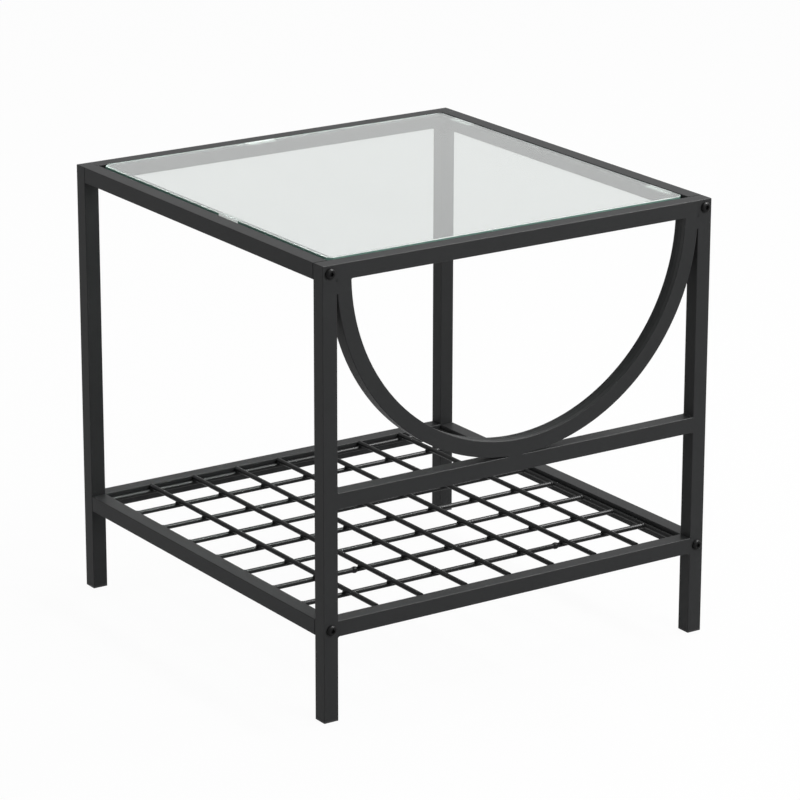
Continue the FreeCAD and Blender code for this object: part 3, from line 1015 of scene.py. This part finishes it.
@dataclass
class WireShelf:
    """The mesh of round wire, welded at each crossing and to its outer wires."""

    coat: bpy.types.Material
    count: int = 9
    spot_seed: int = 23
    spot_wide: float = 3.0 * MM
    spot_high: float = 1.8 * MM
    spot_lean: float = 0.25 * MM
    spot_spread: Pair = (0.92, 1.08)
    spot_cap: float = 0.94
    spot_steps: int = 7
    spot_points: int = 12
    bead_seed: int = 31
    bead_radius: float = 3.05 * MM
    bead_length: float = 2.0 * MM
    bead_spread: Pair = (0.93, 1.07)
    bead_root: float = 0.8
    bead_steps: int = 7
    lump_radius: float = 3.4 * MM
    lump_fall: float = 0.62
    lump_steps: int = 11
    lumps: tuple[tuple[int, float], ...] = ((2, -110.5 * MM), (1, 95.0 * MM))
    collar_points: int = 16

    def dress(self, nodes: Mapping[str, bpy.types.Object]) -> None:
        """Paint the wires."""
        dress(nodes, ("shelf_cross_wires", "shelf_long_wires"), self.coat)

    def build(self) -> list[bpy.types.Object]:
        """Make the welds and return them."""
        return [self.crossing_welds(), self.end_welds()]

    @property
    def wire(self) -> float:
        """Half the thickness of a wire."""
        low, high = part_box("shelf_cross_wires")
        return (high.z - low.z) / 2

    def _places(self, node: str, axis: int) -> list[float]:
        """Find where a row of wires lies.

        Args:
            node: The row's name.
            axis: The axis across the wires.

        Returns:
            The wires' middles along that axis.
        """
        low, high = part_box(node)
        return spaced(low[axis] + self.wire, high[axis] - self.wire, self.count)

    def crossing_welds(self) -> bpy.types.Object:
        """Melt the inner long wires into the cross wires that they lie on.

        Returns:
            The piece.
        """
        shape = Shape()
        chance = random.Random(self.spot_seed)
        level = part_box("shelf_cross_wires")[1].z
        for y in self._places("shelf_cross_wires", 1):
            for x in self._places("shelf_long_wires", 0)[1:-1]:
                wide = self.spot_wide * chance.uniform(*self.spot_spread)
                high = self.spot_high * chance.uniform(*self.spot_spread)
                lean = chance.uniform(-self.spot_lean, self.spot_lean)
                rings = []
                for rise in spaced(-self.spot_cap, self.spot_cap, self.spot_steps):
                    radius = wide * math.sqrt(1 - rise**2)
                    ring = []
                    for angle in turns(self.spot_points):
                        along = x + lean + radius * math.cos(angle)
                        ring.append(Vector((along, y + radius * math.sin(angle), level + high * rise)))
                    rings.append(ring)
                shape.loft(rings)
        return shape.piece("wire_crossing_welds", self.coat, BEAD_SHARP)

    def _collar(self, shape: Shape, profile: Sequence[Pair], y: float, z: float) -> None:
        """Turn a profile about a cross wire.

        Args:
            shape: The mesh to add to.
            profile: Points of X and radius.
            y: The wire's place.
            z: The wire's height.
        """
        angles = turns(self.collar_points)
        rings = []
        for x, radius in profile:
            rings.append([Vector((x, y + radius * math.cos(a), z + radius * math.sin(a))) for a in angles])
        shape.loft(rings)

    def end_welds(self) -> bpy.types.Object:
        """Weld the cross wires to the outer long wires, and add the lumps of the wires' own butt welds.

        Returns:
            The piece.
        """
        shape = Shape()
        chance = random.Random(self.bead_seed)
        low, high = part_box("shelf_cross_wires")
        z = (low.z + high.z) / 2
        root = self.wire * self.bead_root
        places = self._places("shelf_cross_wires", 1)
        for y in places:
            for end, way in ((low.x, 1), (high.x, -1)):
                radius = self.bead_radius * chance.uniform(*self.bead_spread)
                profile = []
                for turn in spaced(0.0, math.pi / 2, self.bead_steps):
                    along = end + way * self.bead_length * math.sin(turn)
                    profile.append((along, root + (radius - root) * math.cos(turn)))
                self._collar(shape, profile, y, z)
        for row, x in self.lumps:
            profile = []
            for along in spaced(-1.0, 1.0, self.lump_steps):
                swell = self.lump_radius * math.sqrt(max(0.0, 1 - along**2 * self.lump_fall))
                profile.append((x + along * self.lump_radius, swell))
            self._collar(shape, profile, places[row], z)
        return shape.piece("wire_end_welds", self.coat, BEAD_SHARP)


@dataclass
class Fasteners:
    """The button-head bolts, the plugs that they screw into, and the feet."""

    bolt: bpy.types.Material
    plug: bpy.types.Material
    plastic: bpy.types.Material

    def dress(self, nodes: Mapping[str, bpy.types.Object]) -> None:
        """Give the bolts, plugs and feet their finishes."""
        dress(nodes, ("frame_bolts",), self.bolt)
        dress(nodes, ("rail_end_plugs",), self.plug)
        dress(nodes, (leg.replace("_leg", "_foot") for leg in TubeFrame.LEGS), self.plastic)


@dataclass(frozen=True)
class Softbox:
    """An oblong studio lamp."""

    name: str
    place: Place
    wide: float
    high: float
    power: float
    shine_only: bool = False
    target: Place = (0.0, 0.0, 0.22)

    def make(self) -> bpy.types.Object:
        """Hang the lamp and return it."""
        light = bpy.data.lights.new(self.name, "AREA")
        light.shape = "RECTANGLE"
        light.size = self.wide
        light.size_y = self.high
        light.energy = self.power
        lamp = bpy.data.objects.new(self.name, light)
        lamp.visible_transmission = False
        lamp.visible_diffuse = not self.shine_only
        lamp.location = self.place
        lamp.rotation_mode = "QUATERNION"
        lamp.rotation_quaternion = (Vector(self.target) - Vector(self.place)).to_track_quat("-Z", "Y")
        bpy.context.scene.collection.objects.link(lamp)
        return lamp


@dataclass
class Studio:
    """The floor, the light and the camera."""

    white: bpy.types.Material
    floor_half: float = 9.0
    fill: float = 0.50
    camera_place: Place = (-2.070132, -3.107415, 1.408339)
    azimuth: float = -0.5906928
    elevation: float = 0.3075801
    roll: float = 0.001948281
    lens: float = 174.84
    sensor: float = 36.0
    clip: Pair = (0.1, 60.0)
    lamps: tuple[Softbox, ...] = (
        Softbox("key_softbox", (1.48, 0.1, 2.6), wide=2.2, high=0.35, power=34.0),
        Softbox("shine_strip", (1.62, -0.85, 2.58), wide=0.3, high=1.2, power=400.0, shine_only=True),
        Softbox("front_softbox", (0.9, -2.6, 1.5), wide=1.2, high=1.2, power=37.0),
    )

    def build(self) -> None:
        """Set up the studio."""
        bpy.context.scene.view_settings.view_transform = "Standard"
        self.build_floor()
        self.build_world()
        for lamp in self.lamps:
            lamp.make()
        self.build_camera()

    def build_floor(self) -> None:
        """Lay the floor under the feet."""
        data = bpy.data.meshes.new("studio_floor")
        half = self.floor_half
        corners = [(-half, -half, 0), (half, -half, 0), (half, half, 0), (-half, half, 0)]
        data.from_pydata(corners, [], [(0, 1, 2, 3)])
        data.materials.append(self.white)
        floor = bpy.data.objects.new("studio_floor", data)
        bpy.context.scene.collection.objects.link(floor)

    def build_world(self) -> None:
        """Make the surroundings white to look at, and a soft fill as light."""
        world = bpy.data.worlds.new("studio")
        bpy.context.scene.world = world
        world.use_nodes = True
        graph = Graph(world.node_tree)
        strength = self.fill + graph.seen() * (1.0 - self.fill)
        white = graph.value("ShaderNodeBackground", None, {"Color": WHITE, "Strength": strength})
        graph.node("ShaderNodeOutputWorld", None, {"Surface": white})

    def build_camera(self) -> None:
        """Put the camera where the photograph was taken from."""
        data = bpy.data.cameras.new("photo_camera")
        data.lens = self.lens
        data.sensor_width = self.sensor
        data.clip_start, data.clip_end = self.clip
        camera = bpy.data.objects.new("photo_camera", data)
        level = math.cos(self.elevation)
        back = Vector((
            math.sin(self.azimuth) * level,
            -math.cos(self.azimuth) * level,
            math.sin(self.elevation),
        ))
        camera.location = self.camera_place
        camera.rotation_mode = "QUATERNION"
        camera.rotation_quaternion = (-back).to_track_quat("-Z", "Y") @ Quaternion((0, 0, 1), self.roll)
        bpy.context.scene.collection.objects.link(camera)
        bpy.context.scene.camera = camera


FRAME_COAT = PowderCoat("frame_powder_coat")
# The wires wear the same powder coat as the frame; their base colours are about three times darker as painted
# shade, standing in for the dark surroundings that thin wires reflect.
SHADED_WIRE_COAT = PowderCoat(
    "wire_coat_with_painted_shade",
    dark=(0.0070, 0.0072, 0.0074),
    light=(0.0105, 0.0108, 0.0111),
    roughness=0.44,
    gloss=0.105,
    fleck_rough=0.04,
    peel_depth=0.004 * MM,
)
PANE_EDGE = GroundEdge("ground_edge", pads=GlassTop.PADS)
PANE_BEVEL = GroundEdge(
    "polished_bevel",
    deep=(0.66, 0.73, 0.70),
    pale=(0.76, 0.82, 0.79),
    roughness=0.80,
    clarity=0.75,
    gloss=0.04,
)


def main() -> None:
    """Build and dress the table, and set up the studio."""
    logging.basicConfig(level=logging.INFO, format="%(name)s %(message)s")
    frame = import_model()
    nodes = frame["nodes"]
    tubes = TubeFrame(FRAME_COAT.make())
    shelf = WireShelf(SHADED_WIRE_COAT.make())
    top = GlassTop(
        FloatGlass("float_glass").make(),
        PANE_EDGE.make(),
        PANE_BEVEL.make(),
        ClearVinyl("clear_vinyl").make(),
    )
    fasteners = Fasteners(
        BlackOxide("black_oxide").make(),
        ZincPlate("zinc_plate").make(),
        MouldedPlastic("moulded_plastic").make(),
    )
    for part in (tubes, shelf, top, fasteners):
        part.dress(nodes)
    for part in (tubes, shelf, top):
        part.build()
    Studio(StudioWhite("studio_white").make()).build()


if __name__ == "__main__":
    main()
